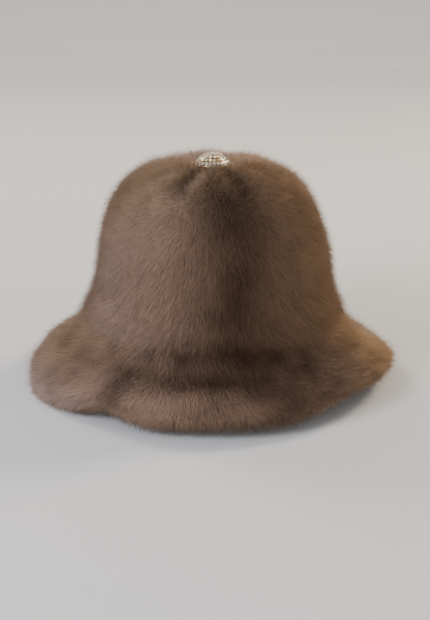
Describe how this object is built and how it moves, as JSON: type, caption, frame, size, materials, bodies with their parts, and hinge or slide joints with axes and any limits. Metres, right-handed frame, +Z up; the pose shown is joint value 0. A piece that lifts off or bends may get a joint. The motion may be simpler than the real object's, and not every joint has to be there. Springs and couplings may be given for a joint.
{
  "type": "cloche hat",
  "caption": "Brown fur cloche hat with a tall rounded crown, a waved down-turned brim and a stone-set ornament on top, over a lined cap.",
  "frame": {"origin": "on the axis of the head oval, in the plane that the brim's edge stands on", "axes": "+Z up through the crown and the ornament, the front of the hat faces -Y, +X is on the right of someone looking at its front"},
  "size_m": [0.3121, 0.3336, 0.1933],
  "materials": {
    "crown_fur": "soft dense pile with glossy guard hairs",
    "brim_fur": "soft dense pile with glossy guard hairs",
    "facing_fur": "short dark pile",
    "wadding": "matt",
    "foundation_felt": "matt stiffened felt",
    "interlining_canvas": "matt stiffened canvas",
    "cotton_tape": "matt twill",
    "millinery_wire": "thread-wrapped wire",
    "lining_satin": "satin",
    "grosgrain": "ribbed ribbon",
    "label_tape": "woven satin tape",
    "clear_stone": "clear, with an iridescent coating",
    "gilt_setting": "polished pale gold plate",
    "gilt_plate": "polished pale gold plate",
    "thread": "waxed",
    "button_plastic": "matt"
  },
  "bodies": {
    "root": {"brim_edge_wire": "millinery_wire", "brim_interlining": "interlining_canvas", "care_label": "label_tape", "crown_foundation": "foundation_felt", "crown_wadding": "wadding", "fur_brim_back": "brim_fur", "fur_brim_facing": "facing_fur", "fur_brim_front": "brim_fur", "fur_crown_panel_1": "crown_fur", "fur_crown_panel_2": "crown_fur", "fur_crown_panel_3": "crown_fur", "fur_crown_panel_4": "crown_fur", "hem_stay_tape": "cotton_tape", "inner_button": "button_plastic", "lining_side_band": "lining_satin", "lining_tip": "lining_satin", "ornament_back_disc": "gilt_plate", "ornament_plate": "gilt_plate", "ornament_settings": "gilt_setting", "ornament_shank": "gilt_plate", "ornament_stone_centre": "clear_stone", "ornament_stones_arms": "clear_stone", "ornament_stones_middle": "clear_stone", "ornament_stones_outer": "clear_stone", "ornament_thread": "thread", "size_label": "label_tape", "sweatband": "grosgrain"}
  },
  "joints": []
}
